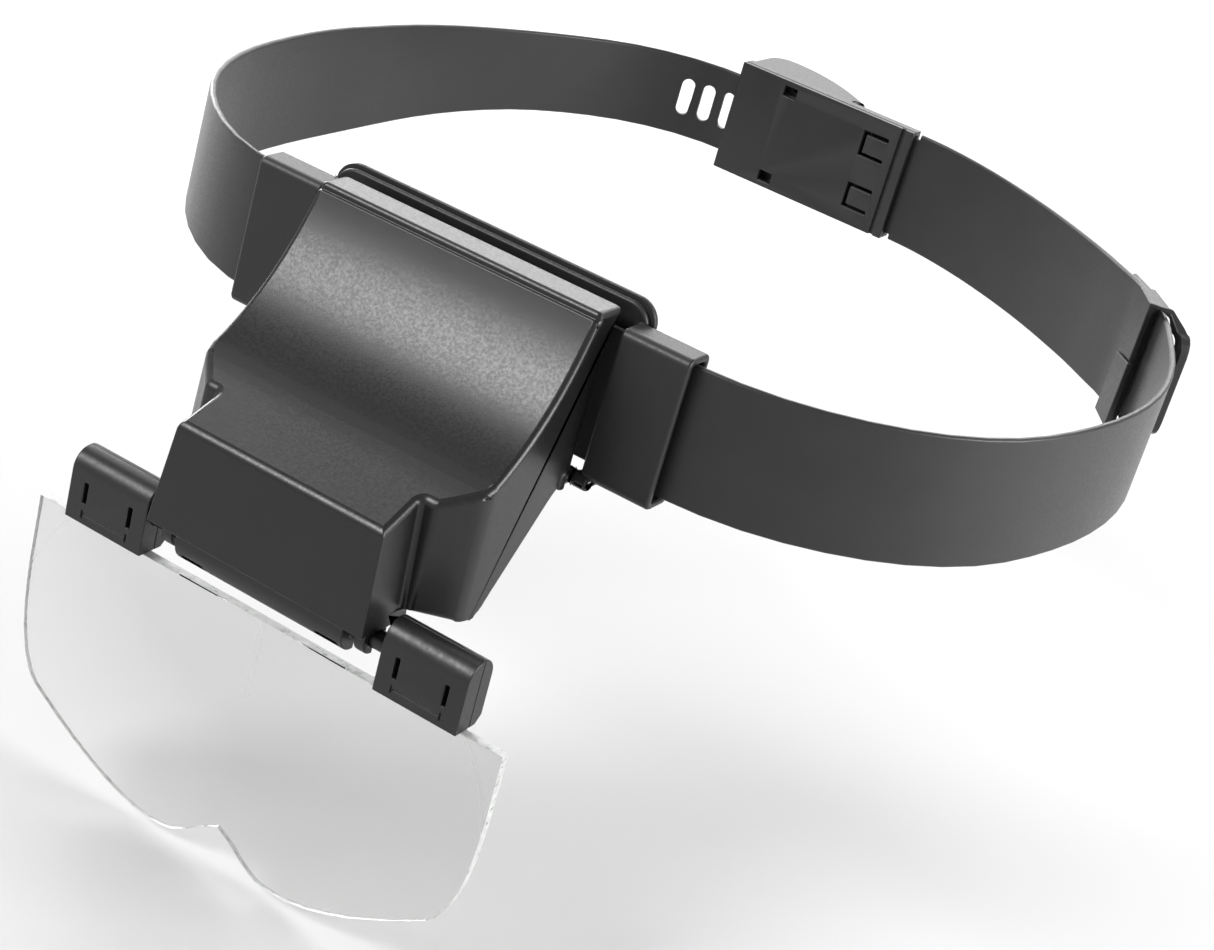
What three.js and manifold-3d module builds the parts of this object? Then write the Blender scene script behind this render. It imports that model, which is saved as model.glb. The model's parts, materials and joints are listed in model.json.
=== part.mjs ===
// Head visor magnifier: a forehead frame on an adjustable plastic band, a tilting
// hood, and a clear lens plate on a hinge rod under the hood's nose.
// Millimetres. X is the wearer's left, Y runs from the face to the back of the
// head, Z is up. The origin is the middle of the pad face that rests on the forehead.

import * as THREE from 'three';
import { mergeVertices } from 'three/addons/utils/BufferGeometryUtils.js';
import Module from 'manifold-3d';

const wasm = await Module();
wasm.setup();

// ---------------------------------------------------------------- dimensions

const GAP = 0.3;                   // running gap between neighbouring pieces

// Band
const BAND_THICK = 1.3;
const BAND_EDGE = 0.35;            // chamfer along the straps' edges
const FRONT_HALF_Z = 13.2;         // half height of the front strap at the sleeves
const TAIL_HALF_Z = 10.1;          // half height of its tail in the buckle
const TAPER_FROM_END = [172, 78];  // distances from the tail's end where it narrows
const REAR_HALF_Z = 13.85;
const REAR_NECK_HALF_Z = 12.5;     // where the rear strap enters the buckle
const BAND_FRONT_Y = 4.4;          // middle of the band inside the sleeves
const BAND_REAR_Y = 197;           // middle of the band inside the buckle
const SLOT_PITCH = 5.7;
const SLOT_WIDTH = 3.3;
const SLOT_HEIGHT = 9.4;
const SLOT_COUNT = 5;
const SLOT_FROM_END = 23.8;        // the slot nearest the tail's end

// Forehead frame and pad
const PAD_FACE_Y = 11;             // moved to y = 0 by the outer group
const SLEEVE_INNER_X = 33.7;
const SLEEVE_OUTER_X = 48.2;
const SLEEVE_DEPTH = 7.7;
const SLEEVE_HALF_Z = 15;
const SLEEVE_WALL_Z = 1.4;
const HOLLOW_Y = [1.5, 6.3];       // the band's passage through the frame
const PLATE_Y = [6.5, 7.7];
const PLATE_HALF_X = 35.3;
const PLATE_TOP_Z = 18;
const PAD_HALF_X = 35.9;
const PAD_TOP_Z = 18.6;
const CORNER_R = 4.5;

// Hood
const WALL = 2;
const LIP_BACK_Y = 3.5;
const LIP_Z = 17.5;
const LIP_STEP = [[-3.7, 17.5], [-4.2, 17], [-4.4, 16]];   // y, z down to the scoop's upper edge
const RIDGE = [-4.95, 16.1];       // the scoop's upper edge
const SCOOP_PULL = [-13.7, -5.8];
const SCOOP_END = [-33, -14];
const NOSE_TOP = [-44.4, -18.7];
const NOSE_FOOT = [-45.6, -38.8];
const SIDE_HALF_X = 31.3;          // at the lip, widening downward
const SIDE_DRAFT = 0.02;
const NOSE_HALF_X = 22.7;          // at the nose's upper edge
const NOSE_DRAFT = 0.075;
const HOOD_FLOOR = -60;            // lower than any part of the hood
const WING_FLARE = 1.6;            // the wings reach this far inside the nose's side walls
const REAR_LINE_YZ = [[8, 15.4], [2.6, 15.4], [0.4, 12.6], [-0.4, -12.2], [-0.4, -20]];
const FOOT_LINE = [[-50, -33.8], [-34, -35.9]];      // y, z along the wings' lower edge
const FOOT_CORNER = [[-24.8, -37.7], [-21.6, -38], [-19.6, -34.9]];
const FOOT_FILLET = [[-5.6, -19.2], [-2.6, -15.9], [0.2, -15.9]];
const POST_R = 2.3;
const POST_Z = [-36.7, -15.4];
const SCREW_R = 0.85;
const SCREW_HEAD_R = 1.9;

// Hood pivot under the sleeves
const PIVOT = [1.2, -15.6];        // y, z
const PIVOT_PIN_R = 0.8;
const PIVOT_LUG_R = 1.6;
const EAR_X = [29.9, 32];
const LUG_X = [32.3, 35.6];

// Lens hinge
const ROD = [-38.6, -41.2];        // y, z
const ROD_R = 1.85;
const ROD_HALF_X = 29.7;
const HOOK_X = [20.6, 22.9];
const HOOK_R = 3.3;
const ROD_MOUTH_Z = -1.3;          // the rod snaps in below this height
const SADDLE_HALF_X = 18.9;
const SADDLE_R = 4.5;
const SADDLE_BASE = [-20.3, 20.3, -43, -29.8, -38.5, -37.1];
const SADDLE_SCREW = [10, -31.7];  // x on the left side, y
const NOTCH_X = [12.7, 17.7];
const NOTCH_Z = [-3.6, -2.5];
const LENS_LEAN = 2.2 * Math.PI / 180;

// Clips and lens plate, measured from the rod's axis
const CLIP_X = [26.6, 44.6];
const CLIP_FRONT = -3.6;
const CLIP_BACK = 4.1;
const CLIP_SPLIT = 0.5;
const CLIP_FOOT = -7.4;
const CLIP_DOME_Z = 2.6;
const CLIP_SCREW_Z = 2.2;
const CLIP_SCREW_R = 0.8;
const CLIP_HEAD_R = 1.75;
const TONGUE_SLOT = 0.9;
const TONGUE_Z = [-3.2, 1];
const TAB_X = [30.3, 40.8];
const LENS_THICK = 2;
const LENS_FRONT = -0.8;
const LENS_TOP = -8.1;
const LENS_HALF_X = 53;
const LENS_FOOT_Z = -45.6;         // the bridge notch, below the plate's top edge

// Buckle
const BUCKLE_X = [-45.5, 3.4];
const BUCKLE_HALF_Z = 14;
const BUCKLE_INNER_Y = 194.6;
const BUCKLE_PLATE = 1.4;
const COVER_Y = [198, 199.4];
const LEVER_FOOT_Y = 199.8;
const LEVER_PIVOT = [-15.6, 201.7];
const LEVER_KNUCKLE_R = 1.9;
const LEVER_HALF_Z = 13.6;
const LEVER_WALL = 1.6;
const LEVER_PIN_R = 0.9;
const LEVER_END_X = -45.6;
const LEVER_TOP_Y = 215;
const EAR_Z = [9.6, 11.4];
const FINGER_Z = 6.8;              // middle height of the two snap fingers
const TOOTH_X = [-42.7, -40.3];    // the lever's tooth, in one of the strap's slots
const TOOTH_HALF_Z = 3.4;
const TOOTH_FOOT_Y = 196.7;
const SPRING_R = 1.4;
const WIRE_R = 0.3;

// Slider
const SLIDER_AT = [84, 148];
const SLIDER_TURN = Math.atan2(0.848, -0.53);
const SLIDER_X = [-16.4, 3.2];         // from the outer bar to the inner plate's rear edge
const SLIDER_HALF_Z = 14.9;
const SLIDER_BAR_HALF_Z = 11.2;
const SLIDER_RAIL = 0.75;
const SLIDER_WINDOW_X = [-12.6, -7.2];
const SLIDER_PLATE_Y = [-2.3, -0.95];

// ----------------------------------------------------------------- materials

const finishes = {
  satin_black: { color: 0x202124, roughness: 0.42, metalness: 0 },
  band_grey: { color: 0x3a3b3e, roughness: 0.68, metalness: 0 },
  frame_grey: { color: 0x2e2f32, roughness: 0.6, metalness: 0 },
  pad_rubber: { color: 0x2a2b2d, roughness: 0.85, metalness: 0 },
  clip_grey: { color: 0x26272a, roughness: 0.55, metalness: 0 },
  steel: { color: 0xa8aaad, roughness: 0.3, metalness: 1 },
  clear: { color: 0xf2f4f3, roughness: 0.05, metalness: 0 },
};

// -------------------------------------------------------------- solid helpers

function solid(geometry) {
  const bare = geometry.clone();
  bare.deleteAttribute('normal');
  bare.deleteAttribute('uv');
  const merged = mergeVertices(bare, 1e-4);
  return new wasm.Manifold(new wasm.Mesh({
    numProp: 3,
    vertProperties: new Float32Array(merged.attributes.position.array),
    triVerts: new Uint32Array(merged.index.array),
  }));
}

function geometryOf(body) {
  const mesh = body.getMesh();
  const geometry = new THREE.BufferGeometry();
  geometry.setAttribute('position', new THREE.BufferAttribute(mesh.vertProperties, 3));
  geometry.setIndex(new THREE.BufferAttribute(mesh.triVerts, 1));
  geometry.computeVertexNormals();
  return geometry;
}

function union(parts) {
  return parts.reduce((sum, part) => sum.add(part));
}

function shapeFrom(points) {
  return new THREE.Shape(points.map(([u, v]) => new THREE.Vector2(u, v)));
}

function roundedRect(u0, u1, v0, v1, r) {
  const shape = new THREE.Shape();
  shape.moveTo(u0 + r, v0);
  shape.lineTo(u1 - r, v0);
  shape.absarc(u1 - r, v0 + r, r, -Math.PI / 2, 0);
  shape.lineTo(u1, v1 - r);
  shape.absarc(u1 - r, v1 - r, r, 0, Math.PI / 2);
  shape.lineTo(u0 + r, v1);
  shape.absarc(u0 + r, v1 - r, r, Math.PI / 2, Math.PI);
  shape.lineTo(u0, v0 + r);
  shape.absarc(u0 + r, v0 + r, r, Math.PI, 1.5 * Math.PI);
  return shape;
}

function extrude(shape, depth, curveSegments = 6) {
  return new THREE.ExtrudeGeometry(shape, { depth, bevelEnabled: false, curveSegments });
}

// A section drawn in X and Y, running along Z
function alongZ(shape, z0, z1, curveSegments) {
  return extrude(shape, z1 - z0, curveSegments).translate(0, 0, z0);
}

// A section drawn in Y and Z, running along X
function alongX(shape, x0, x1, curveSegments) {
  const turn = new THREE.Matrix4().makeBasis(
    new THREE.Vector3(0, 1, 0), new THREE.Vector3(0, 0, 1), new THREE.Vector3(1, 0, 0));
  return extrude(shape, x1 - x0, curveSegments).applyMatrix4(turn).translate(x0, 0, 0);
}

// A section drawn in X and Z, running along Y
function alongY(shape, y0, y1, curveSegments) {
  const turn = new THREE.Matrix4().makeBasis(
    new THREE.Vector3(1, 0, 0), new THREE.Vector3(0, 0, 1), new THREE.Vector3(0, -1, 0));
  return extrude(shape, y1 - y0, curveSegments).applyMatrix4(turn).translate(0, y1, 0);
}

function box(x0, x1, y0, y1, z0, z1) {
  const geometry = new THREE.BoxGeometry(x1 - x0, y1 - y0, z1 - z0);
  return solid(geometry.translate((x0 + x1) / 2, (y0 + y1) / 2, (z0 + z1) / 2));
}

function rodX(x0, x1, y, z, r, sides = 20) {
  const geometry = new THREE.CylinderGeometry(r, r, x1 - x0, sides).rotateZ(Math.PI / 2);
  return solid(geometry.translate((x0 + x1) / 2, y, z));
}

function rodY(x, y0, y1, z, r, sides = 14) {
  const geometry = new THREE.CylinderGeometry(r, r, y1 - y0, sides);
  return solid(geometry.translate(x, (y0 + y1) / 2, z));
}

function rodZ(x, y, z0, z1, r, sides = 16) {
  const geometry = new THREE.CylinderGeometry(r, r, z1 - z0, sides).rotateX(Math.PI / 2);
  return solid(geometry.translate(x, y, (z0 + z1) / 2));
}

function mirrorX(points) {
  return points.map(([x, y]) => [-x, y]).reverse();
}

// Widens a solid downward from the height where its section was drawn
function withDraft(geometry, halfX, fromZ, slope) {
  const place = geometry.attributes.position;
  for (let i = 0; i < place.count; i += 1) {
    const widen = 1 + slope * (fromZ - place.getZ(i)) / halfX;
    place.setX(i, place.getX(i) * widen);
  }
  return geometry;
}

// Moves an open outline sideways by a wall's thickness, with sharp corners
function insetOutline(points, wall) {
  const normals = points.slice(1).map((point, i) => {
    const along = new THREE.Vector2(point[0] - points[i][0], point[1] - points[i][1]).normalize();
    return new THREE.Vector2(-along.y, along.x);
  });
  return points.map((point, i) => {
    const before = normals[Math.max(i - 1, 0)];
    const after = normals[Math.min(i, normals.length - 1)];
    const reach = wall / (1 + before.dot(after));
    return [point[0] + reach * (before.x + after.x), point[1] + reach * (before.y + after.y)];
  });
}

const assembly = new THREE.Group();

function addPart(name, body, finish, group = assembly) {
  const material = new THREE.MeshStandardMaterial(finishes[finish]);
  const mesh = new THREE.Mesh(geometryOf(body), material);
  mesh.name = name;
  group.add(mesh);
}

// ---------------------------------------------------------------------- hood

function bezier(points, steps) {
  const [start, pull, end] = points.map(([u, v]) => new THREE.Vector2(u, v));
  return new THREE.QuadraticBezierCurve(start, pull, end).getPoints(steps).map((p) => [p.x, p.y]);
}

function scoopLine() {
  return bezier([RIDGE, SCOOP_PULL, SCOOP_END], 16);
}

function hoodTopLine() {
  return [[LIP_BACK_Y, LIP_Z], ...LIP_STEP, ...scoopLine(), NOSE_TOP, NOSE_FOOT];
}

function hoodUnderLine() {
  return insetOutline([[LIP_BACK_Y, RIDGE[1] + 0.3], ...scoopLine(), NOSE_TOP, NOSE_FOOT], WALL);
}

// The hood's plan: side walls, slanted cheek wings and the space in front for the nose
function wingPlan(halfX, rearY, wall) {
  const inner = NOSE_HALF_X + WING_FLARE - wall;
  const half = [[halfX, rearY], [halfX, -26.2 + wall], [halfX - 0.5, -28 + wall],
    [halfX - 1.8, -29.6 + wall], [inner + 1, -34.2 + wall], [inner, -34.4 + wall]];
  return shapeFrom([...half, ...mirrorX(half)]);
}

function wingFootCut() {
  const line = [...FOOT_LINE, ...bezier(FOOT_CORNER, 5), ...bezier(FOOT_FILLET, 4), [10, FOOT_FILLET[2][1]]];
  return solid(alongX(shapeFrom([...line, [10, HOOD_FLOOR], [-50, HOOD_FLOOR]].reverse()), -50, 50));
}

// Everything behind the side walls' rear edge, up to the lip's underside
function rearCut() {
  return solid(alongX(shapeFrom([...REAR_LINE_YZ, [8, -20]].reverse()), -50, 50));
}

function hoodBlock(topLine, wall) {
  const profile = [...topLine, [topLine.at(-1)[0], HOOD_FLOOR], [12, HOOD_FLOOR], [12, topLine[0][1]]];
  const slab = solid(alongX(shapeFrom(profile), -50, 50));
  const wingGeometry = alongZ(wingPlan(SIDE_HALF_X - wall, wall ? 12 : LIP_BACK_Y, wall), HOOD_FLOOR, 25);
  const wings = solid(withDraft(wingGeometry, SIDE_HALF_X, LIP_Z, SIDE_DRAFT));
  const noseGeometry = new THREE.BoxGeometry(2 * (NOSE_HALF_X - wall), 30, 70).translate(0, -38, -30);
  const nose = solid(withDraft(noseGeometry, NOSE_HALF_X, NOSE_TOP[1], NOSE_DRAFT));
  return { wings: slab.intersect(wings), nose: slab.intersect(nose) };
}

function hookPair() {
  const [y, z] = ROD;
  const hooks = [];
  for (const side of [1, -1]) {
    const [x0, x1] = side > 0 ? HOOK_X : [-HOOK_X[1], -HOOK_X[0]];
    const ring = rodX(x0, x1, y, z, HOOK_R, 24).add(box(x0, x1, y - HOOK_R, y + HOOK_R, z, -36.4));
    const bore = rodX(x0 - 1, x1 + 1, y, z, ROD_R + 0.15, 20);
    const mouth = box(x0 - 1, x1 + 1, y + 0.2, y + 6, z - 6, z + ROD_MOUTH_Z);
    hooks.push(ring.subtract(bore).subtract(mouth));
  }
  return hooks;
}

// Posts inside the nose that take the saddle's screws
function nosePosts() {
  const [x, y] = SADDLE_SCREW;
  return [-x, x].map((at) => rodZ(at, y, ...POST_Z, POST_R, 14)
    .subtract(rodZ(at, y, -40, -24, SCREW_R + 0.05, 12)));
}

// Ears at the rear foot of each side wall, on the pivot pins
function pivotEars() {
  return [1, -1].map((side) => {
    const x = EAR_X.map((value) => side * value).sort((a, b) => a - b);
    const ear = rodX(x[0], x[1], PIVOT[0], PIVOT[1], PIVOT_LUG_R, 18);
    const arm = box(x[0], x[1], -3, PIVOT[0], PIVOT[1] - PIVOT_LUG_R + 0.1, PIVOT[1] + PIVOT_LUG_R);
    return ear.add(arm);
  });
}

function hood() {
  const outer = hoodBlock(hoodTopLine(), 0);
  const inner = hoodBlock(hoodUnderLine(), WALL);
  const noseFloor = box(-50, 50, -60, 20, -70, NOSE_FOOT[1]);
  const wings = outer.wings.subtract(wingFootCut());
  const shell = wings.add(outer.nose.subtract(noseFloor)).subtract(inner.wings).subtract(inner.nose);
  const bores = rodX(-40, 40, PIVOT[0], PIVOT[1], PIVOT_PIN_R + 0.1, 16);
  const body = union([shell.subtract(rearCut()), ...hookPair(), ...nosePosts(), ...pivotEars()]);
  return body.subtract(bores);
}

addPart('hood', hood(), 'satin_black');

// ------------------------------------------------------- forehead frame and pad

function sleeve(side) {
  const x = [side * SLEEVE_INNER_X, side * SLEEVE_OUTER_X].sort((a, b) => a - b);
  return solid(alongX(roundedRect(0, SLEEVE_DEPTH, -SLEEVE_HALF_Z, SLEEVE_HALF_Z, 1.6), x[0], x[1], 4));
}

function pivotLug(side) {
  const x = LUG_X.map((value) => side * value).sort((a, b) => a - b);
  const lug = rodX(x[0], x[1], PIVOT[0], PIVOT[1], PIVOT_LUG_R, 18)
    .add(box(x[0], x[1], PIVOT[0], 5.5, PIVOT[1] - 1.1, -SLEEVE_HALF_Z + 0.7));
  const window = box(x[0] + 0.8, x[1] - 0.8, -2, 0.7, PIVOT[1] - 0.9, PIVOT[1] - 0.2);
  return lug.subtract(window);
}

function foreheadFrame() {
  const plateShape = roundedRect(-PLATE_HALF_X, PLATE_HALF_X, -SLEEVE_HALF_Z + 0.6, PLATE_TOP_Z, CORNER_R);
  const plate = solid(alongY(plateShape, PLATE_Y[0], PLATE_Y[1], 6));
  const body = union([plate, sleeve(1), sleeve(-1), pivotLug(1), pivotLug(-1)]);
  const hollowZ = SLEEVE_HALF_Z - SLEEVE_WALL_Z;
  const hollow = solid(alongX(roundedRect(...HOLLOW_Y, -hollowZ, hollowZ, 0.6), -60, 60, 2));
  return body.subtract(hollow).subtract(rodX(-60, 60, PIVOT[0], PIVOT[1], PIVOT_PIN_R + 0.05, 16));
}

addPart('forehead_frame', foreheadFrame(), 'frame_grey');

const padShape = roundedRect(-PAD_HALF_X, PAD_HALF_X, -SLEEVE_HALF_Z, PAD_TOP_Z, CORNER_R);
addPart('forehead_pad', solid(alongY(padShape, PLATE_Y[1] + GAP, PAD_FACE_Y, 6)), 'pad_rubber');

for (const [name, side] of [['left', 1], ['right', -1]]) {
  const x = [side * EAR_X[0], side * (LUG_X[1] - 0.2)].sort((a, b) => a - b);
  addPart(`hood_pin_${name}`, rodX(x[0], x[1], PIVOT[0], PIVOT[1], PIVOT_PIN_R, 16), 'steel');
}

// ---------------------------------------------------------------------- band

// Centre line of the front strap, from its loose end past the slider, round the
// left side, through both sleeves and round the right side into the buckle
const FRONT_LINE = [[75, 162.6], [81.2, 155.7], [86.5, 147.2], [91.2, 138.8], [96, 127.5],
  [101.2, 113.5], [105, 97], [106, 80], [103.9, 61], [97.8, 39.9], [87.8, 24.4], [74.9, 13.3], [61.2, 6.7],
  [48, BAND_FRONT_Y], [36, BAND_FRONT_Y], [-36, BAND_FRONT_Y], [-48, BAND_FRONT_Y],
  [-60, 8.3], [-73.8, 18.5], [-85.7, 33.2],
  [-93.7, 52.1], [-97.3, 77], [-97, 104], [-93.7, 134.5], [-84.5, 163.2], [-70.7, 184.8], [-58.1, 194],
  [-48, 196.9], [-40, BAND_REAR_Y], [-12, BAND_REAR_Y]];

// Centre line of the rear strap, from the slider round to the buckle
const REAR_LINE = [[86.6, 143.8], [79.5, 154.6], [72.9, 160.6], [64.2, 168.3], [46, 181.4], [28, 191],
  [14, 195.8], [5, BAND_REAR_Y], [-8, BAND_REAR_Y]];

function curveThrough(line) {
  return new THREE.CatmullRomCurve3(line.map(([x, y]) => new THREE.Vector3(x, y, 0)), false, 'centripetal');
}

// A strap's section: offset across its thickness, and height, with chamfered edges
function strapSection(halfZ) {
  const t = BAND_THICK / 2;
  const quarter = [[t, halfZ - BAND_EDGE], [t - BAND_EDGE, halfZ]];
  const top = [...quarter, ...mirrorX(quarter)];
  return [...top, ...top.map(([n, z]) => [-n, -z])];
}

function strap(curve, steps, halfZAt) {
  const rings = [];
  for (let i = 0; i <= steps; i += 1) {
    const at = curve.getPointAt(i / steps);
    const along = curve.getTangentAt(i / steps);
    const halfZ = halfZAt(curve.getLength() * (1 - i / steps));
    rings.push(strapSection(halfZ).map(([n, z]) => [at.x + along.y * n, at.y - along.x * n, z]));
  }
  const sides = rings[0].length;
  const faces = [];
  for (let i = 0; i < steps; i += 1) {
    for (let j = 0; j < sides; j += 1) {
      const [a, b] = [i * sides + j, i * sides + (j + 1) % sides];
      faces.push([a, a + sides, b + sides], [a, b + sides, b]);
    }
  }
  const last = steps * sides;
  for (let j = 1; j < sides - 1; j += 1) {
    faces.push([0, j, j + 1], [last, last + j + 1, last + j]);
  }
  const geometry = new THREE.BufferGeometry();
  geometry.setAttribute('position', new THREE.Float32BufferAttribute(rings.flat(2), 3));
  geometry.setIndex(faces.flat());
  return solid(geometry);
}

// The front strap narrows smoothly towards its tail
function frontHalfZ(fromEnd) {
  const narrow = 1 - THREE.MathUtils.smoothstep(fromEnd, TAPER_FROM_END[1], TAPER_FROM_END[0]);
  return FRONT_HALF_Z - (FRONT_HALF_Z - TAIL_HALF_Z) * narrow;
}

// An oblong cutter lying across the strap at a distance from the strap's far end
function slotCutter(curve, fromEnd) {
  const u = 1 - fromEnd / curve.getLength();
  const at = curve.getPointAt(u);
  const along = curve.getTangentAt(u);
  const half = SLOT_WIDTH / 2;
  const shape = roundedRect(-half, half, -SLOT_HEIGHT / 2, SLOT_HEIGHT / 2, half - 0.01);
  const geometry = alongY(shape, -3, 3, 5).rotateZ(Math.atan2(along.y, along.x));
  return solid(geometry.translate(at.x, at.y, 0));
}

function frontStrap() {
  const curve = curveThrough(FRONT_LINE);
  let body = strap(curve, 72, frontHalfZ);
  for (let i = 0; i < SLOT_COUNT; i += 1) {
    body = body.subtract(slotCutter(curve, SLOT_FROM_END + i * SLOT_PITCH));
  }
  return body;
}

function rearStrap() {
  const body = strap(curveThrough(REAR_LINE), 28, () => REAR_HALF_Z);
  const shoulder = box(-20, BUCKLE_X[1] + 1.4, 190, 200, -20, 20)
    .subtract(box(-20, 20, 190, 200, -REAR_NECK_HALF_Z, REAR_NECK_HALF_Z));
  const holes = [7, -7].map((z) => box(-7.2, -3, 190, 200, z - 2.6, z + 2.6));
  return [shoulder, ...holes].reduce((piece, cut) => piece.subtract(cut), body);
}

addPart('front_strap', frontStrap(), 'band_grey');
addPart('rear_strap', rearStrap(), 'band_grey');

// -------------------------------------------------------------------- slider

// The loop's side view: rails beside the straps and the raised outer bar
function sliderProfile() {
  const [x0, x1] = SLIDER_X;
  const under = SLIDER_PLATE_Y[0];
  return shapeFrom([[x1, under], [x1, 1.2], [-7, 2.1], [-11.2, 5.6], [-12.8, 6.6], [x0, 6.6], [x0, 4.6],
    [-13.4, 4.4], [-8.8, 2.2], [SLIDER_WINDOW_X[1], under]]);
}

// The loop's outline seen from outside, narrowing to the outer bar
function sliderOutline(x0, x1, halfZ, barHalfZ, round) {
  const half = new THREE.Path();
  half.moveTo(x1, halfZ);
  half.lineTo(-8, halfZ);
  half.lineTo(x0 + 1.4 * round, barHalfZ + 0.2 * round);
  half.quadraticCurveTo(x0, barHalfZ, x0, barHalfZ - 1.2 * round);
  const points = half.getPoints(4).map((p) => [p.x, p.y]);
  return shapeFrom([...points, ...points.map(([x, z]) => [x, -z]).reverse()]);
}

// Drawn with x towards the buckle along the band and y outwards, then turned
function slider() {
  const [x0, x1] = SLIDER_X;
  const inside = SLIDER_HALF_Z - SLIDER_RAIL;
  const outline = sliderOutline(x0, x1, SLIDER_HALF_Z, SLIDER_BAR_HALF_Z, 3);
  const window = sliderOutline(SLIDER_WINDOW_X[0], x1 + 1, inside, SLIDER_BAR_HALF_Z - SLIDER_RAIL, 1.6);
  const frame = solid(alongY(outline, -5, 9)).subtract(solid(alongY(window, -6, 10)))
    .intersect(solid(alongZ(sliderProfile(), -20, 20)));
  const plate = box(SLIDER_WINDOW_X[1], x1, ...SLIDER_PLATE_Y, -inside - 0.1, inside + 0.1);
  const slit = box(-14, 14, -4, 0, -0.3, 0.3).rotate([0, 7, 0]);
  const body = frame.add(plate.subtract(slit));
  return body.mirror([0, 1, 0]).rotate([0, 0, SLIDER_TURN * 180 / Math.PI])
    .translate([SLIDER_AT[0], SLIDER_AT[1], 0]);
}

addPart('slider', slider(), 'frame_grey');

// -------------------------------------------------------------------- buckle

function bucklePlate() {
  const [x0, x1] = BUCKLE_X;
  const y1 = BUCKLE_INNER_Y + BUCKLE_PLATE;
  let body = box(x0, x1, BUCKLE_INNER_Y, y1, -BUCKLE_HALF_Z, BUCKLE_HALF_Z);
  body = body.subtract(box(x1 - 3.2, x1 - 2.2, BUCKLE_INNER_Y - 1, BUCKLE_INNER_Y + 0.8, -15, 15));
  for (const z of [FINGER_Z, -FINGER_Z]) {
    const cut = box(-9, -2.2, 190, 200, z - 3.2, z + 3.2);
    const finger = box(-8.1, 0, 190, 200, z - 2.3, z + 2.3);
    body = body.subtract(cut.subtract(finger));
    body = body.add(box(-6.8, -4, y1 - 0.2, y1 + 1.5, z - 2, z + 2));
  }
  for (const z of [11.3, -11.3]) {
    body = body.subtract(box(-32.8, -29.2, 190, 200, z - 1.3, z + 1.3));
  }
  return body;
}

function buckleCover() {
  const [x0, x1] = BUCKLE_X;
  const plateY = BUCKLE_INNER_Y + BUCKLE_PLATE + GAP;
  const walls = [1, -1].map((side) => {
    const z = [side * 12.9, side * BUCKLE_HALF_Z].sort((a, b) => a - b);
    return box(x0, x1, plateY, COVER_Y[1], z[0], z[1]);
  });
  const floor = box(x0, x1, COVER_Y[0], COVER_Y[1], -BUCKLE_HALF_Z, BUCKLE_HALF_Z);
  const ears = [1, -1].map((side) => {
    const z = EAR_Z.map((value) => side * value).sort((a, b) => a - b);
    const ear = rodZ(LEVER_PIVOT[0], LEVER_PIVOT[1], z[0], z[1], LEVER_KNUCKLE_R, 18);
    const foot = [LEVER_PIVOT[0] - LEVER_KNUCKLE_R, LEVER_PIVOT[0] + LEVER_KNUCKLE_R];
    return ear.add(box(...foot, COVER_Y[0] + 0.2, LEVER_PIVOT[1], ...z));
  });
  const window = box(-44.2, -38.6, 190, 205, -4.9, 4.9);
  const bore = rodZ(LEVER_PIVOT[0], LEVER_PIVOT[1], -20, 20, LEVER_PIN_R + 0.05, 14);
  return union([floor, ...walls, ...ears]).subtract(window).subtract(bore);
}

function leverHump(wall) {
  const shape = new THREE.Shape();
  shape.moveTo(LEVER_END_X + wall, LEVER_FOOT_Y - (wall ? 2 : 0));
  shape.lineTo(LEVER_PIVOT[0] - wall, LEVER_FOOT_Y - (wall ? 2 : 0));
  shape.lineTo(LEVER_PIVOT[0] - wall, LEVER_FOOT_Y);
  shape.lineTo(LEVER_PIVOT[0] + 1.2 - 2 * wall, LEVER_PIVOT[1] + 1.45);
  shape.bezierCurveTo(-24 - wall, 211.3 - wall, -31 - wall, 214.6 - wall, -39.5, LEVER_TOP_Y - wall);
  shape.bezierCurveTo(-43.6, LEVER_TOP_Y - wall, LEVER_END_X + wall, 213 - wall,
    LEVER_END_X + wall, 208.7 - wall);
  return shape;
}

function buckleLever() {
  const [x, y] = LEVER_PIVOT;
  const outer = solid(alongZ(leverHump(0), -LEVER_HALF_Z, LEVER_HALF_Z, 10))
    .add(rodZ(x, y, -LEVER_HALF_Z, LEVER_HALF_Z, LEVER_KNUCKLE_R, 24));
  const inside = LEVER_HALF_Z - LEVER_WALL;
  const hollow = solid(alongZ(leverHump(LEVER_WALL), -inside, inside, 10))
    .add(box(x - 5, x + 4, LEVER_FOOT_Y - 2, y + 2.3, -inside, inside));
  const tooth = box(...TOOTH_X, TOOTH_FOOT_Y, 213, -TOOTH_HALF_Z, TOOTH_HALF_Z);
  const tip = box(...TOOTH_X, TOOTH_FOOT_Y, 200.5, -TOOTH_HALF_Z, TOOTH_HALF_Z);
  const bore = rodZ(x, y, -20, 20, LEVER_PIN_R + 0.1, 14);
  return outer.subtract(hollow).add(tooth.intersect(outer.add(tip))).subtract(bore);
}

class Helix extends THREE.Curve {
  constructor(radius, rise, turns) {
    super();
    Object.assign(this, { radius, rise, turns });
  }

  getPoint(t, target = new THREE.Vector3()) {
    const angle = t * this.turns * 2 * Math.PI;
    return target.set(this.radius * Math.cos(angle), this.radius * Math.sin(angle), (t - 0.5) * this.rise);
  }
}

function leverSpring() {
  const wire = new THREE.Shape().absarc(0, 0, WIRE_R, 0, 2 * Math.PI);
  const coil = new THREE.ExtrudeGeometry(wire, {
    steps: 60, extrudePath: new Helix(SPRING_R, 5.2, 5), curveSegments: 3,
  });
  const [x, y] = LEVER_PIVOT;
  const leg = box(x - 8, x + 0.1, y - SPRING_R - WIRE_R, y - SPRING_R + WIRE_R, -2.1, -1.5);
  return solid(coil.translate(x, y, 0)).add(leg);
}

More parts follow.
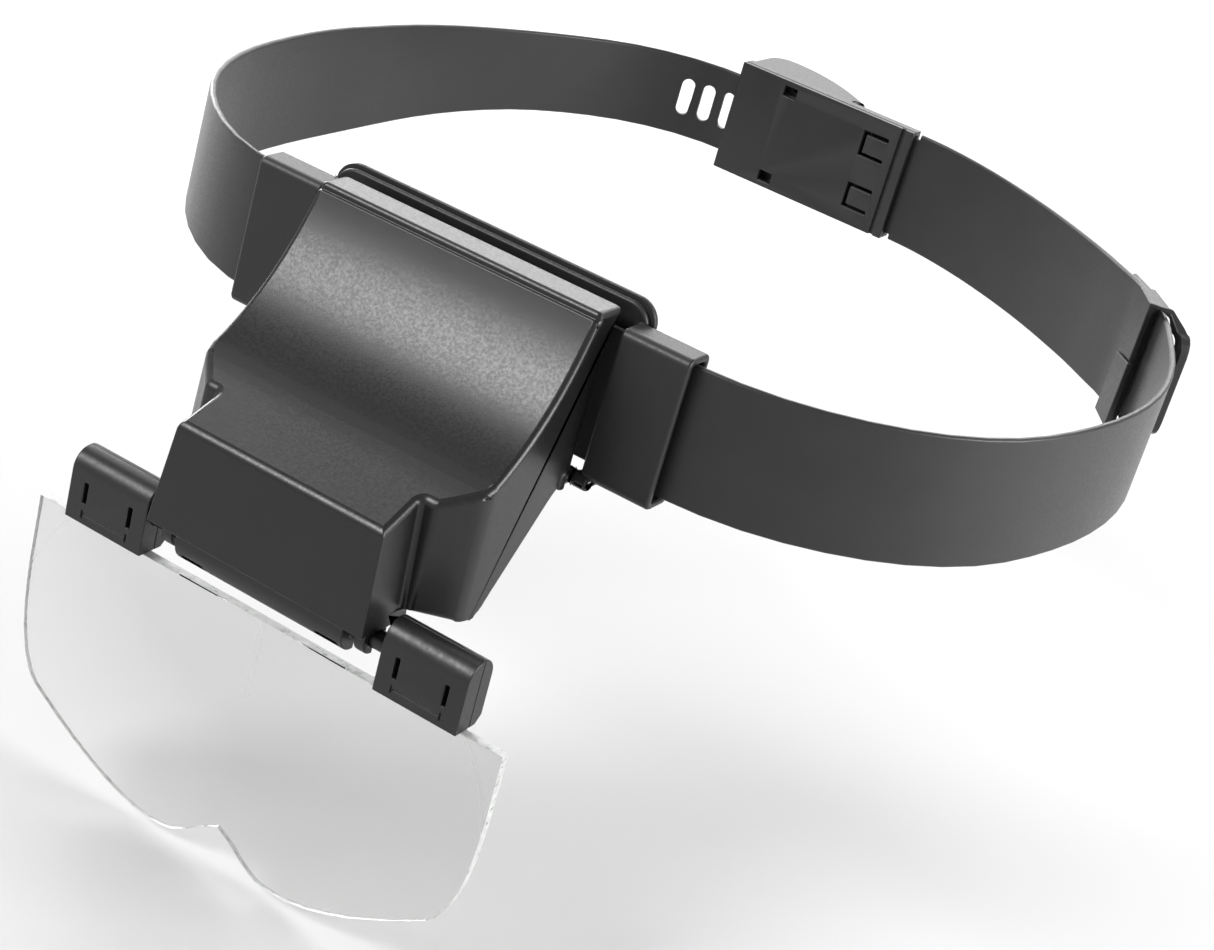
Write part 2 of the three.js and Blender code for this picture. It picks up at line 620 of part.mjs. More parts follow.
addPart('buckle_plate', bucklePlate(), 'frame_grey');
addPart('buckle_cover', buckleCover(), 'frame_grey');
addPart('buckle_lever', buckleLever(), 'frame_grey');
addPart('lever_pin', rodZ(LEVER_PIVOT[0], LEVER_PIVOT[1], -13.2, 13.2, LEVER_PIN_R, 14), 'steel');
addPart('lever_spring', leverSpring(), 'steel');

// ------------------------------------------------------------- hinge under the nose

function hingeSaddle() {
  const [y, z] = ROD;
  const base = box(...SADDLE_BASE);
  const trough = rodX(-SADDLE_HALF_X, SADDLE_HALF_X, y, z, SADDLE_R, 28)
    .add(box(-SADDLE_HALF_X, SADDLE_HALF_X, y - SADDLE_R, y + SADDLE_R, z, -38.3));
  const bore = rodX(-25, 25, y, z, ROD_R + 0.2, 20);
  const mouth = box(-25, 25, y - 1, y + 6, z - 6, z - 1.5).intersect(box(-25, 25, y + 0.4, y + 6, z - 6, z));
  const notches = [-1, 1].map((side) => {
    const x = NOTCH_X.map((value) => side * value).sort((a, b) => a - b);
    return box(x[0], x[1], y - 6, y, z + NOTCH_Z[0], z + NOTCH_Z[1]);
  });
  const [screwX, screwY] = SADDLE_SCREW;
  const screwHoles = [-screwX, screwX].map((x) => rodZ(x, screwY, -45, -30, SCREW_R + GAP, 12));
  return [bore, mouth, ...notches, ...screwHoles].reduce((body, cut) => body.subtract(cut), base.add(trough));
}

function saddleScrew(x) {
  const y = SADDLE_SCREW[1];
  const slot = box(x - 0.3, x + 0.3, y - 3, y + 3, -40.5, -39.4);
  const head = rodZ(x, y, -39.9, -38.8, SCREW_HEAD_R, 14).subtract(slot);
  return head.add(rodZ(x, y, -39, -30, SCREW_R, 12));
}

addPart('hinge_saddle', hingeSaddle(), 'satin_black');
addPart('saddle_screw_left', saddleScrew(SADDLE_SCREW[0]), 'steel');
addPart('saddle_screw_right', saddleScrew(-SADDLE_SCREW[0]), 'steel');

// ---------------------------------------------------- lens assembly on the rod

const lensGroup = new THREE.Group();
lensGroup.position.set(0, ROD[0], ROD[1]);
lensGroup.rotation.x = LENS_LEAN;
assembly.add(lensGroup);

function clipProfile() {
  const shape = new THREE.Shape();
  const mid = (CLIP_FRONT + CLIP_BACK) / 2;
  const r = (CLIP_BACK - CLIP_FRONT) / 2;
  shape.moveTo(CLIP_FRONT, CLIP_FOOT);
  shape.lineTo(CLIP_BACK - 1.6, CLIP_FOOT);
  shape.lineTo(CLIP_BACK, CLIP_FOOT + 1.6);
  shape.lineTo(CLIP_BACK, CLIP_DOME_Z);
  shape.absarc(mid, CLIP_DOME_Z, r, 0, Math.PI);
  shape.lineTo(CLIP_FRONT, CLIP_FOOT);
  return shape;
}

function clipBlank() {
  const block = solid(alongX(clipProfile(), CLIP_X[0], CLIP_X[1], 8));
  const lensBack = LENS_FRONT + LENS_THICK;
  const pocket = box(TAB_X[0] - GAP, TAB_X[1] + GAP, LENS_FRONT - GAP, lensBack + GAP, -20, 0.6);
  const bore = rodX(CLIP_X[0] - 2, TAB_X[0] - 0.2, 0, 0, ROD_R + 0.02, 20);
  return block.subtract(pocket).subtract(bore).subtract(clipScrewBore());
}

function clipScrewBore() {
  const x = (CLIP_X[0] + CLIP_X[1]) / 2;
  return rodY(x, -2.4, 6, CLIP_SCREW_Z, CLIP_SCREW_R + 0.15, 12)
    .add(rodY(x, CLIP_BACK - 1.2, 6, CLIP_SCREW_Z, CLIP_HEAD_R + 0.15, 14));
}

// Snap tongue: two slots beside it, and a shallow groove under it, with a tick at each end
function tongueCuts() {
  const half = TONGUE_SLOT / 2;
  const slots = TAB_X.map((x) => box(x - half, x + half, -6, LENS_FRONT, ...TONGUE_Z));
  const groove = box(TAB_X[0], TAB_X[1], CLIP_FRONT - 1, CLIP_FRONT + 0.3, -5.4, -5.1);
  const ticks = TAB_X.map((x) => box(x - 0.2, x + 0.2, CLIP_FRONT - 1, CLIP_FRONT + 0.4, -6.2, -4.6));
  return union([...slots, groove, ...ticks]);
}

function clipFront() {
  return clipBlank().intersect(box(0, 60, -10, CLIP_SPLIT, -20, 20)).subtract(tongueCuts());
}

function clipBack() {
  return clipBlank().intersect(box(0, 60, CLIP_SPLIT + 0.1, 10, -20, 20));
}

function clipScrew() {
  const x = (CLIP_X[0] + CLIP_X[1]) / 2;
  const head = rodY(x, CLIP_BACK - 0.9, CLIP_BACK - 0.1, CLIP_SCREW_Z, CLIP_HEAD_R, 14);
  const slot = box(x - 3, x + 3, CLIP_BACK - 0.45, CLIP_BACK + 1, CLIP_SCREW_Z - 0.2, CLIP_SCREW_Z + 0.2);
  return head.subtract(slot).add(rodY(x, -2.2, CLIP_BACK - 0.8, CLIP_SCREW_Z, CLIP_SCREW_R, 12));
}

// Half of the plate's outline, from the middle of the top edge round to the bridge notch
function lensHalf() {
  const side = new THREE.SplineCurve([[53, -14], [52.7, -20.7], [51.9, -28], [49.6, -35.6], [46.8, -39]]
    .map(([x, z]) => new THREE.Vector2(x, z)));
  const foot = new THREE.SplineCurve([[46.8, -39], [39.4, -43.6], [31, -48], [22.5, -51.2], [15.5, -52.4],
    [10.6, -52]].map(([x, z]) => new THREE.Vector2(x, z)));
  const bridge = new THREE.SplineCurve([[10.6, -52], [7.4, -50.4], [3.6, -47.6], [0, LENS_FOOT_Z]]
    .map(([x, z]) => new THREE.Vector2(x, z)));
  const round = [...side.getPoints(6), ...foot.getPoints(10).slice(1), ...bridge.getPoints(5).slice(1, -1)];
  return [[LENS_HALF_X, 0], ...round.map((p) => [p.x, p.y])];
}

function lensPlate() {
  const half = lensHalf().map(([x, z]) => [x, z + LENS_TOP]);
  const outline = [...half, [0, LENS_TOP + LENS_FOOT_Z], ...mirrorX(half)];
  const plate = solid(alongY(shapeFrom(outline), LENS_FRONT, LENS_FRONT + LENS_THICK));
  const tabs = [1, -1].map((side) => {
    const x = TAB_X.map((value) => side * value).sort((a, b) => a - b);
    const tab = box(x[0], x[1], LENS_FRONT, LENS_FRONT + LENS_THICK, LENS_TOP - 1, 0.2);
    return tab.subtract(box(x[0] + 3.2, x[1] - 3.2, -4, 4, -5.2, -3));
  });
  return union([plate, ...tabs]);
}

addPart('hinge_rod', rodX(-ROD_HALF_X, ROD_HALF_X, 0, 0, ROD_R, 24), 'satin_black', lensGroup);
addPart('lens_plate', lensPlate(), 'clear', lensGroup);
for (const [name, side] of [['left', 1], ['right', -1]]) {
  const mirror = (body) => (side > 0 ? body : body.mirror([1, 0, 0]));
  addPart(`clip_front_${name}`, mirror(clipFront()), 'clip_grey', lensGroup);
  addPart(`clip_back_${name}`, mirror(clipBack()), 'clip_grey', lensGroup);
  addPart(`clip_screw_${name}`, mirror(clipScrew()), 'steel', lensGroup);
}

// The pad's face comes to y = 0
assembly.position.set(0, -PAD_FACE_Y, 0);

const magnifier = new THREE.Group();
magnifier.add(assembly);

export default magnifier;
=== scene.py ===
"""Head visor magnifier: fine meshes, materials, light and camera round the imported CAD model."""
import json
import math

import bmesh
import bpy
from mathutils import Euler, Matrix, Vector


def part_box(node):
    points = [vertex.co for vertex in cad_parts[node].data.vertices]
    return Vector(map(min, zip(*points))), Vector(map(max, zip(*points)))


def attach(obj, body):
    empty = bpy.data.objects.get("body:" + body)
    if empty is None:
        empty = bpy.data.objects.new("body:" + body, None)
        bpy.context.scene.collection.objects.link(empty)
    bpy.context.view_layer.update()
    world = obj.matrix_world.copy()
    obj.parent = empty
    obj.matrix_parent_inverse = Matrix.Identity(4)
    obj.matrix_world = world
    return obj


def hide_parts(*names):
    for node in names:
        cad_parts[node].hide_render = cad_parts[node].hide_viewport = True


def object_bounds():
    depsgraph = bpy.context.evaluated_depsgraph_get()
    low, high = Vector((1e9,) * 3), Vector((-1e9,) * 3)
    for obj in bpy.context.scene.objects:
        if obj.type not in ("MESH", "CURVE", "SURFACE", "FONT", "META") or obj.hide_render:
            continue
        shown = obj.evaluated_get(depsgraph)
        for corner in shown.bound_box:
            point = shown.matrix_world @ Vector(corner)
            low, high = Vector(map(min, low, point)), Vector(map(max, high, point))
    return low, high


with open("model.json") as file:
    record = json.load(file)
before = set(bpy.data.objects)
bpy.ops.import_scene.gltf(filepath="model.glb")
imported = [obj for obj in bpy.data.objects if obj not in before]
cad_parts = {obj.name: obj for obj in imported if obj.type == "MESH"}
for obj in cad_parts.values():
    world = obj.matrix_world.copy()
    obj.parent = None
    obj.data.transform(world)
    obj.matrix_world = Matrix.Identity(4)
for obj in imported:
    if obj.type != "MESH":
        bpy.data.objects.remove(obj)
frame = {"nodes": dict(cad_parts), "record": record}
cad_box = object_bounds()

MM = 0.001

# Meshes taken from the CAD: vertices this close are one, and faces this near to flat are one.
SAME_PLACE = 2e-6
SAME_PLANE = math.radians(0.8)

# The edges round the hood's foot are nearly sharp.
HOOD_FOOT_Z = -37 * MM
HOOD_FOOT_FILLET = 0.3 * MM

# The two round optics in the lens plate, and the lines that show at their rims and seam.
ZONE_X, ZONE_Z, ZONE_R = 25.1 * MM, -70.2 * MM, 28 * MM
ZONE_DOME = 0.45 * MM
ZONE_LINE = (0.05 * MM, 0.22 * MM)
RIM_FADE_X = (36 * MM, 40 * MM)
SEAM_FADE_Z = (-78 * MM, -66 * MM)
LENS_EDGE = 0.2 * MM
LENS_GRID = 2 * MM

# The pad: corners seen from the front, the rolled rim, and the face's rise towards the forehead.
PAD_CORNER = 4.5 * MM
PAD_RIM = 1.3 * MM
PAD_CROWN = 0.7 * MM
PAD_BACK_ANGLES = (20, 50, 90)
PAD_RIM_ANGLES = (0, 20, 40, 60, 80)
PAD_FACE_RINGS = 8

FLOOR_REACH = 3.0
FLOOR_GAP = 2 * MM

CAMERA_PLACE = (0.2121, -0.3937, 0.1732)
CAMERA_TURN = (65.488, -15.091, 31.266)         # degrees about x, y and z
CAMERA_SENSOR, CAMERA_LENS = 36, 76.07
CAMERA_SHIFT = (0.0031, -0.0068)

BODY_OF = {node: body
           for body, nodes in frame["record"]["behaviour"]["bodies"].items() for node in nodes}


# ------------------------------------------------------------------ mesh helpers

def add_object(name, data):
    added = bpy.data.objects.new(name, data)
    bpy.context.scene.collection.objects.link(added)
    return added


def finish_mesh(bm, name, sharp=38):
    """Smooth shading, with edges that turn more than an angle in degrees left crisp."""
    bmesh.ops.recalc_face_normals(bm, faces=bm.faces)
    for face in bm.faces:
        face.smooth = True
    for edge in bm.edges:
        edge.smooth = edge.calc_face_angle(0) < math.radians(sharp)
    mesh = bpy.data.meshes.new(name)
    bm.to_mesh(mesh)
    bm.free()
    return mesh


def cad_copy(node):
    """A node's solid as a bmesh with its flat faces whole again."""
    bm = bmesh.new()
    bm.from_mesh(frame["nodes"][node].data)
    bmesh.ops.remove_doubles(bm, verts=bm.verts, dist=SAME_PLACE)
    bmesh.ops.dissolve_limit(bm, angle_limit=SAME_PLANE, verts=bm.verts, edges=bm.edges)
    return bm


def room_beside(edge):
    """How far the narrower of an edge's two faces reaches away from it."""
    along = (edge.verts[1].co - edge.verts[0].co).normalized()
    reach = []
    for face in edge.link_faces:
        offsets = [v.co - edge.verts[0].co for v in face.verts]
        reach.append(max((o - along * o.dot(along)).length for o in offsets))
    return min(reach)


def weigh_edges(bm, widest, least, share, limit):
    """Marks each edge that turns more than least degrees with the fillet it has room for.

    The mark is the fillet's width as a part of the widest. It takes at most a share of the
    room beside the edge, and no more than limit(edge) where there is one.
    """
    layer = bm.edges.layers.float.new("bevel_weight_edge")
    for edge in bm.edges:
        if edge.calc_face_angle(0) > math.radians(least):
            width = min(widest, share * room_beside(edge))
            if limit:
                width = min(width, limit(edge))
            edge[layer] = width / widest


def add_fillets(piece, widest, segments):
    rolled = piece.modifiers.new("fillets", "BEVEL")
    rolled.limit_method = "WEIGHT"
    rolled.offset_type = "OFFSET"
    rolled.width = widest
    rolled.segments = segments
    rolled.use_clamp_overlap = False
    rolled.miter_outer = "MITER_ARC"
    rolled.harden_normals = False


def stand_for(piece, node, material):
    """The piece takes a CAD node's place and body, with the given material."""
    piece.data.materials.clear()
    piece.data.materials.append(material)
    weighted = piece.modifiers.new("even_shading", "WEIGHTED_NORMAL")
    weighted.keep_sharp = True
    weighted.weight = 90
    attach(piece, BODY_OF[node])
    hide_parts(node)


def refined(node, material, fillet_mm, segments=3, least=24, share=0.4, limit=None):
    """A CAD node's own shape with its edges rolled."""
    bm = cad_copy(node)
    weigh_edges(bm, fillet_mm * MM, least, share, limit)
    piece = add_object(node + "_fine", finish_mesh(bm, node + "_fine"))
    add_fillets(piece, fillet_mm * MM, segments)
    stand_for(piece, node, material)


def hood_limit(edge):
    return HOOD_FOOT_FILLET if edge.verts[0].co.z < HOOD_FOOT_Z else math.inf


# --------------------------------------------------------------------- materials

def new_material(name):
    material = bpy.data.materials.new(name)
    material.use_nodes = True
    tree = material.node_tree
    place = tree.nodes.new("ShaderNodeTexCoord").outputs["Object"]
    return material, tree, tree.nodes["Principled BSDF"], place


def noise(tree, place, scale, detail=3, stretch=(1, 1, 1)):
    mapping = tree.nodes.new("ShaderNodeMapping")
    mapping.inputs["Scale"].default_value = stretch
    tree.links.new(place, mapping.inputs["Vector"])
    texture = tree.nodes.new("ShaderNodeTexNoise")
    texture.inputs["Scale"].default_value = scale
    texture.inputs["Detail"].default_value = detail
    tree.links.new(mapping.outputs["Vector"], texture.inputs["Vector"])
    return texture.outputs["Fac"]


def spread(tree, value, low, high, start=0.35, end=0.65):
    """A value's range from start to end, carried over to low to high."""
    ramp = tree.nodes.new("ShaderNodeMapRange")
    ramp.inputs["From Min"].default_value = start
    ramp.inputs["From Max"].default_value = end
    ramp.inputs["To Min"].default_value = low
    ramp.inputs["To Max"].default_value = high
    tree.links.new(value, ramp.inputs["Value"])
    return ramp.outputs["Result"]


def tint(tree, factor, dark, light):
    ramp = tree.nodes.new("ShaderNodeValToRGB")
    ramp.color_ramp.elements[0].position = 0.3
    ramp.color_ramp.elements[0].color = (*dark, 1)
    ramp.color_ramp.elements[1].position = 0.72
    ramp.color_ramp.elements[1].color = (*light, 1)
    tree.links.new(factor, ramp.inputs["Fac"])
    return ramp.outputs["Color"]


def bump(tree, height, depth, strength, before=None):
    node = tree.nodes.new("ShaderNodeBump")
    node.inputs["Distance"].default_value = depth
    node.inputs["Strength"].default_value = strength
    tree.links.new(height, node.inputs["Height"])
    if before:
        tree.links.new(before, node.inputs["Normal"])
    return node.outputs["Normal"]


def maths(tree, operation, *terms):
    node = tree.nodes.new("ShaderNodeMath")
    node.operation = operation
    for socket, term in zip(node.inputs, terms):
        if isinstance(term, (int, float)):
            socket.default_value = term
        else:
            tree.links.new(term, socket)
    return node.outputs["Value"]


def paint_edge_highlight(tree, colour, light, amount):
    """Painted highlight: convex edges paler, broken up by the mottling already in the colour."""
    geometry = tree.nodes.new("ShaderNodeNewGeometry")
    edge = spread(tree, geometry.outputs["Pointiness"], low=0, high=amount, start=0.53, end=0.62)
    mix = tree.nodes.new("ShaderNodeMix")
    mix.data_type = "RGBA"
    tree.links.new(edge, mix.inputs["Factor"])
    tree.links.new(colour, mix.inputs["A"])
    mix.inputs["B"].default_value = (*light, 1)
    return mix.outputs["Result"]


def plastic(name, grey, rough, grain, depth, sheen, stretch=(1, 1, 1)):
    """Moulded plastic: mottled colour, fine grain in bump and gloss, and a painted highlight that makes the
    edges paler.
    """
    material, tree, shader, place = new_material(name)
    mottle = noise(tree, place, scale=90, detail=4, stretch=stretch)
    fine = noise(tree, place, scale=grain, detail=5, stretch=stretch)
    # Mottling tints, and the pale tint, three times the grey, of the painted edge highlight.
    dark, light, edge_highlight_tint = (tuple(share * c for c in grey) for share in (0.88, 1.12, 3))
    colour = paint_edge_highlight(tree, tint(tree, mottle, dark, light), edge_highlight_tint, amount=0.5)
    tree.links.new(colour, shader.inputs["Base Color"])
    tree.links.new(spread(tree, fine, rough - 0.04, rough + 0.05), shader.inputs["Roughness"])
    soft = bump(tree, noise(tree, place, scale=240, detail=2), depth=0.00006, strength=0.25)
    tree.links.new(bump(tree, fine, depth, strength=0.6, before=soft), shader.inputs["Normal"])
    shader.inputs["Sheen Weight"].default_value = sheen
    shader.inputs["Sheen Roughness"].default_value = 0.35
    return material


def steel():
    material, tree, shader, place = new_material("steel")
    lines = noise(tree, place, scale=900, stretch=(1, 1, 12))
    colour = tint(tree, lines, dark=(0.42, 0.43, 0.45), light=(0.66, 0.67, 0.69))
    tree.links.new(colour, shader.inputs["Base Color"])
    tree.links.new(spread(tree, lines, 0.24, 0.42), shader.inputs["Roughness"])
    tree.links.new(bump(tree, lines, depth=0.00001, strength=0.4), shader.inputs["Normal"])
    shader.inputs["Metallic"].default_value = 1
    return material


def zone_lines(tree, side, height):
    """1 along the outer rims of the two round optics and the upper part of the seam between them."""
    across = maths(tree, "POWER", maths(tree, "SUBTRACT", side, ZONE_X), 2)
    down = maths(tree, "POWER", maths(tree, "SUBTRACT", height, ZONE_Z), 2)
    radius = maths(tree, "SQRT", maths(tree, "ADD", across, down))
    rim = maths(tree, "ABSOLUTE", maths(tree, "SUBTRACT", radius, ZONE_R))
    rim = maths(tree, "ADD", rim, spread(tree, side, 1, 0, *RIM_FADE_X))
    seam = maths(tree, "ADD", side, spread(tree, height, 1, 0, *SEAM_FADE_Z))
    return spread(tree, maths(tree, "MINIMUM", rim, seam), 1, 0, *ZONE_LINE)


def acrylic():
    """Clear plastic with painted shade, darker towards the middle of its top edge where the dark hood shows
    in it, with wipe marks in the gloss.
    """
    material, tree, shader, place = new_material("clear_acrylic")
    split = tree.nodes.new("ShaderNodeSeparateXYZ")
    tree.links.new(place, split.inputs["Vector"])
    side, height = maths(tree, "ABSOLUTE", split.outputs["X"]), split.outputs["Z"]
    cloud = noise(tree, place, scale=40, detail=2)
    wipes = noise(tree, place, scale=500, detail=4, stretch=(1, 1, 0.15))
    # Painted shade: the tint darkens towards the middle of the top edge, where the dark hood shows in the
    # plate.
    hood_shade = maths(tree, "MULTIPLY",
                  spread(tree, side, low=1, high=0.55, start=0, end=0.06),
                  spread(tree, height, low=0.3, high=1, start=-0.105, end=-0.05))
    colour = tint(tree, hood_shade, dark=(0.90, 0.902, 0.90), light=(0.72, 0.722, 0.72))
    tree.links.new(colour, shader.inputs["Base Color"])
    lines = zone_lines(tree, side, height)
    gloss = maths(tree, "ADD", spread(tree, wipes, 0.02, 0.06), maths(tree, "MULTIPLY", lines, 0.25))
    tree.links.new(gloss, shader.inputs["Roughness"])
    soft = bump(tree, cloud, depth=0.0001, strength=0.05)
    relief = bump(tree, lines, depth=0.00004, strength=0.5, before=soft)
    tree.links.new(relief, shader.inputs["Normal"])
    shader.inputs["Transmission Weight"].default_value = 1
    shader.inputs["IOR"].default_value = 1.49
    return material


def painted_edge_glow():
    """The moulded plate's edge: satin, with a pale painted glow standing in for light from inside the clear
    plastic.
    """
    material, tree, shader, place = new_material("clear_acrylic_edge")
    streaks = noise(tree, place, scale=700)
    # Pale colour painted as the glow of light seen through the plate's edge.
    colour = tint(tree, streaks, dark=(0.52, 0.53, 0.525), light=(0.80, 0.81, 0.80))
    tree.links.new(colour, shader.inputs["Base Color"])
    tree.links.new(spread(tree, streaks, 0.25, 0.45), shader.inputs["Roughness"])
    tree.links.new(bump(tree, streaks, depth=0.00002, strength=0.4), shader.inputs["Normal"])
    shader.inputs["Transmission Weight"].default_value = 0.25
    return material


def pale_floor():
    material, tree, shader, place = new_material("floor_white")
    colour = tint(tree, noise(tree, place, scale=6), dark=(0.54, 0.54, 0.54), light=(0.56, 0.56, 0.56))
    tree.links.new(colour, shader.inputs["Base Color"])
    shader.inputs["Roughness"].default_value = 0.9
    return material


HOOD = plastic("hood_black", grey=(0.005, 0.005, 0.0053), rough=0.33, grain=1700, depth=0.000006,
               sheen=0.01)
FRAME = plastic("frame_black", grey=(0.010, 0.010, 0.0105), rough=0.44, grain=1400, depth=0.000016,
                sheen=0.05)
BAND = plastic("band_charcoal", grey=(0.012, 0.012, 0.0127), rough=0.42, grain=1300, depth=0.000016,
               sheen=0.14, stretch=(1, 1, 1.6))
CLIP = plastic("clip_black", grey=(0.008, 0.008, 0.0084), rough=0.38, grain=1100, depth=0.00005,
               sheen=0.02)
RUBBER = plastic("pad_rubber", grey=(0.012, 0.012, 0.0127), rough=0.55, grain=1300, depth=0.00008,
                 sheen=0.06)
STEEL = steel()
CLEAR = acrylic()
EDGE = painted_edge_glow()


# ------------------------------------------------------------------- rigid pieces

refined("hood", HOOD, 1.2, segments=5, limit=hood_limit)
refined("forehead_frame", FRAME, 0.5)
refined("front_strap", BAND, 0.12, segments=2, least=30)
refined("rear_strap", BAND, 0.12, segments=2, least=30)
refined("slider", FRAME, 0.25)
refined("buckle_plate", FRAME, 0.2)
refined("buckle_cover", FRAME, 0.25)
refined("buckle_lever", FRAME, 0.6)
refined("hinge_saddle", HOOD, 0.25)
refined("hinge_rod", HOOD, 0.3)
for hand in ("left", "right"):
    refined("clip_front_" + hand, CLIP, 0.22)
    refined("clip_back_" + hand, CLIP, 0.22)
    refined("clip_screw_" + hand, STEEL, 0.12)
    refined("saddle_screw_" + hand, STEEL, 0.12)
    refined("hood_pin_" + hand, STEEL, 0.15)
refined("lever_pin", STEEL, 0.15)
refined("lever_spring", STEEL, 0.05, segments=1, least=50)


# -------------------------------------------------------------------------- lens

def cut_into_grid(bm, low, high, step):
    """Cuts a mesh along planes a step apart in x and in z, spaced evenly about its middle."""
    for axis in (0, 2):
        count = int((high[axis] - low[axis]) / step)
        for i in range(1, count + 1):
            place, normal = Vector(low), Vector((0, 0, 0))
            place[axis] = (low[axis] + high[axis]) / 2 + (i - (count + 1) / 2) * step
            normal[axis] = 1
            bmesh.ops.bisect_plane(bm, geom=bm.verts[:] + bm.edges[:] + bm.faces[:], plane_co=place,
                                   plane_no=normal, dist=1e-6)


def lens_zones():
    """The clear plate with a round, slightly domed optic for each eye, meeting in a seam."""
    bm = cad_copy("lens_plate")
    sharp = [e for e in bm.edges if e.calc_face_angle(0) > math.radians(40)]
    bmesh.ops.bevel(bm, geom=sharp, offset=LENS_EDGE, offset_type="OFFSET", segments=2, profile=0.5,
                    affect="EDGES", clamp_overlap=True)
    low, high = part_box("lens_plate")
    cut_into_grid(bm, low, high, LENS_GRID)
    bm.normal_update()
    outward = max((f for f in bm.faces if f.normal.y < 0), key=lambda f: f.calc_area()).normal.copy()
    front = max(v.co.dot(outward) for v in bm.verts)
    for v in [v for v in bm.verts if v.co.dot(outward) > front - 0.02 * MM]:
        away = math.hypot(abs(v.co.x) - ZONE_X, v.co.z - ZONE_Z) / ZONE_R
        if away < 1:
            v.co += outward * ZONE_DOME * (1 - away ** 2)
    piece = add_object("lens_plate_fine", finish_mesh(bm, "lens_plate_fine", sharp=30))
    stand_for(piece, "lens_plate", CLEAR)
    piece.data.materials.append(EDGE)
    for face in piece.data.polygons:
        face.material_index = int(abs(face.normal.dot(outward)) < 0.5)


lens_zones()


# --------------------------------------------------------------------------- pad

def rounded_outline(low, high, radius, steps=10):
    """Points round a rectangle with round corners, in x and z."""
    corners = ((high[0], high[1], 0), (low[0], high[1], 90), (low[0], low[1], 180), (high[0], low[1], 270))
    points = []
    for cx, cz, start in corners:
        centre = Vector((cx - math.copysign(radius, cx - (low[0] + high[0]) / 2),
                         cz - math.copysign(radius, cz - (low[1] + high[1]) / 2)))
        for i in range(steps + 1):
            angle = math.radians(start + 90 * i / steps)
            points.append(centre + radius * Vector((math.cos(angle), math.sin(angle))))
    return points


def soft_pad():
    """A soft slab with a rolled rim and a face crowned towards the forehead."""
    low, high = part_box("forehead_pad")
    outline = rounded_outline((low[0], low[2]), (high[0], high[2]), PAD_CORNER)
    middle = Vector(((low[0] + high[0]) / 2, (low[2] + high[2]) / 2))
    half = Vector(((high[0] - low[0]) / 2, (high[2] - low[2]) / 2))
    bm = bmesh.new()
    loops = []

    def add_loop(y, across, up):
        loops.append([bm.verts.new((middle.x + (p.x - middle.x) * across, y,
                                    middle.y + (p.y - middle.y) * up)) for p in outline])

    back_rim = 0.5 * PAD_RIM
    insets = [(low[1], 0)]
    for turn in (math.radians(a) for a in PAD_BACK_ANGLES):
        insets.append((low[1] + back_rim * (1 - math.cos(turn)), back_rim * (1 - math.sin(turn))))
    for turn in (math.radians(a) for a in PAD_RIM_ANGLES):
        insets.append((high[1] - PAD_CROWN - PAD_RIM * (1 - math.sin(turn)), PAD_RIM * (1 - math.cos(turn))))
    for y, inset in insets:
        add_loop(y, 1 - inset / half.x, 1 - inset / half.y)
    for k in range(1, PAD_FACE_RINGS + 1):
        out = 1 - k / (PAD_FACE_RINGS + 1)
        keep = (1 - PAD_RIM / half.x) * out
        add_loop(high[1] - PAD_CROWN * out ** 3, keep, keep)
    for a, b in zip(loops, loops[1:]):
        for i in range(len(outline)):
            j = (i + 1) % len(outline)
            bm.faces.new((a[i], a[j], b[j], b[i]))
    bm.faces.new(loops[0])
    bm.faces.new(list(reversed(loops[-1])))
    piece = add_object("forehead_pad_soft", finish_mesh(bm, "forehead_pad_soft", sharp=60))
    stand_for(piece, "forehead_pad", RUBBER)


soft_pad()


# ---------------------------------------------------------------- floor and light

def floor():
    bm = bmesh.new()
    below = cad_box[0][2] - FLOOR_GAP
    signs = ((-1, -1), (1, -1), (1, 1), (-1, 1))
    bm.faces.new([bm.verts.new((x * FLOOR_REACH, y * FLOOR_REACH, below)) for x, y in signs])
    ground = add_object("floor", finish_mesh(bm, "floor"))
    ground.data.materials.append(pale_floor())


def facing(direction):
    """The turn that points a lamp's -Z along a direction."""
    return direction.to_track_quat("-Z", "Y").to_euler()


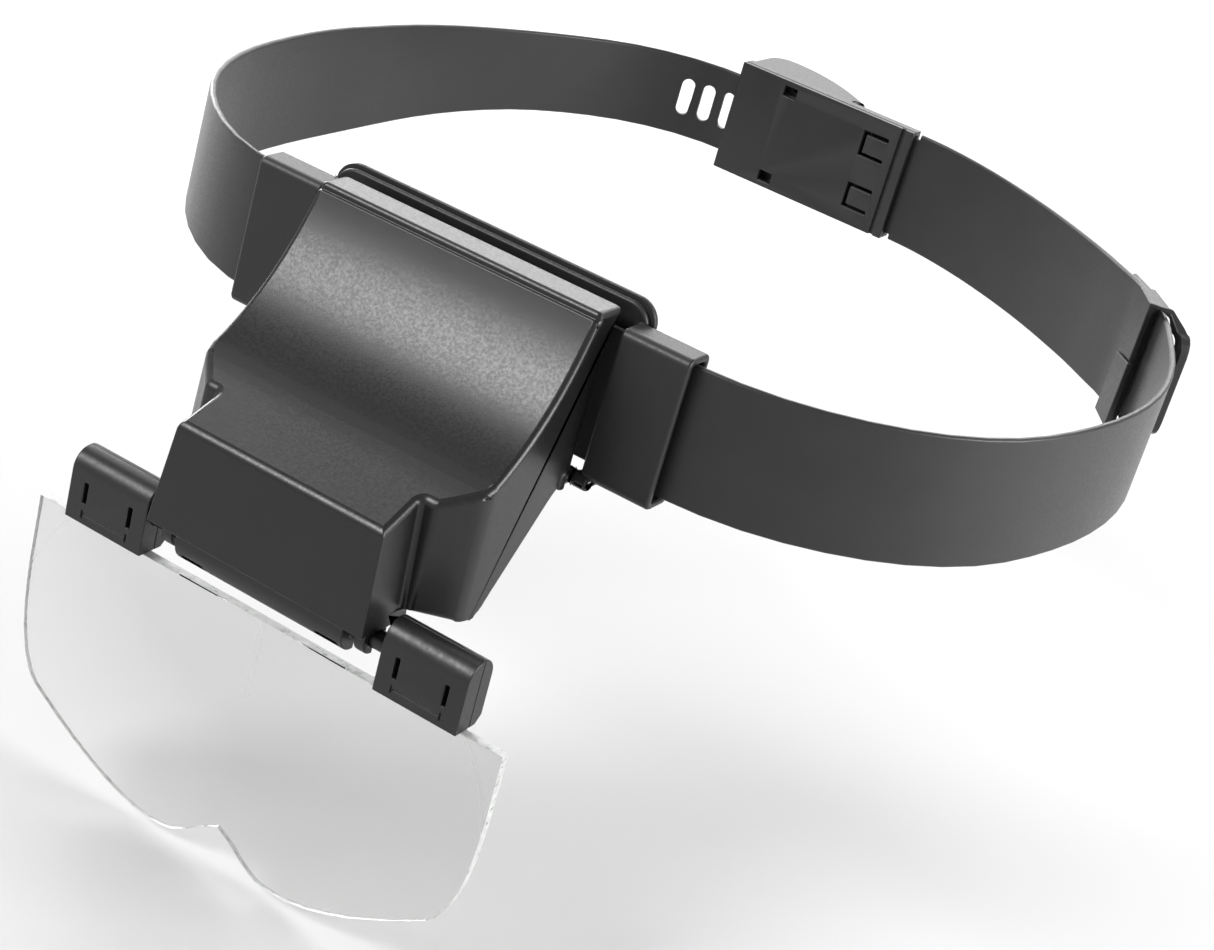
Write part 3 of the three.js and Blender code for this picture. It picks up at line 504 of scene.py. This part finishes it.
def area_light(name, place, target, size, power):
    light = bpy.data.lights.new(name, "AREA")
    light.shape = "RECTANGLE"
    light.size, light.size_y = size
    light.energy = power
    lamp = add_object(name, light)
    lamp.location = place
    lamp.rotation_euler = facing(Vector(target) - Vector(place))


def soft_sun(name, source, width, power):
    """A sun as wide as an angle in degrees, shining from the source's side."""
    light = bpy.data.lights.new(name, "SUN")
    light.angle = math.radians(width)
    light.energy = power
    add_object(name, light).rotation_euler = facing(-Vector(source))


def surroundings():
    """A white room that dims upward."""
    world = bpy.data.worlds.new("white_room")
    bpy.context.scene.world = world
    world.use_nodes = True
    tree = world.node_tree
    background = tree.nodes["Background"]
    place = tree.nodes.new("ShaderNodeTexCoord").outputs["Generated"]
    height = tree.nodes.new("ShaderNodeSeparateXYZ")
    tree.links.new(place, height.inputs["Vector"])
    rise = spread(tree, height.outputs["Z"], low=0, high=1, start=-0.1, end=0.9)
    tree.links.new(tint(tree, rise, (1, 1, 1), (0.7, 0.7, 0.7)), background.inputs["Color"])
    background.inputs["Strength"].default_value = 0.66
    bpy.context.scene.view_settings.view_transform = "Standard"


def camera():
    data = bpy.data.cameras.new("camera")
    data.sensor_width = CAMERA_SENSOR
    data.lens = CAMERA_LENS
    data.shift_x, data.shift_y = CAMERA_SHIFT
    data.clip_start = 0.01
    seen = add_object("camera", data)
    seen.location = CAMERA_PLACE
    seen.rotation_euler = Euler([math.radians(angle) for angle in CAMERA_TURN])
    bpy.context.scene.camera = seen


floor()
surroundings()
soft_sun("key", source=(-0.40, -0.64, 0.63), width=24, power=2.2)
area_light("right_softbox", place=(0.95, 0.2, 0.3), target=(0, 0.08, 0), size=(0.5, 0.6), power=11)
area_light("back_softbox", place=(-0.6, 1.2, 0.6), target=(0, 0.05, 0), size=(1.8, 0.5), power=14)
area_light("left_softbox", place=(-0.95, 0.6, 0.3), target=(0, 0.08, 0), size=(0.4, 0.5), power=8)
area_light("top_softbox", place=(-0.6, 0.4, 1.1), target=(0, 0, 0), size=(0.6, 0.35), power=1.7)
camera()
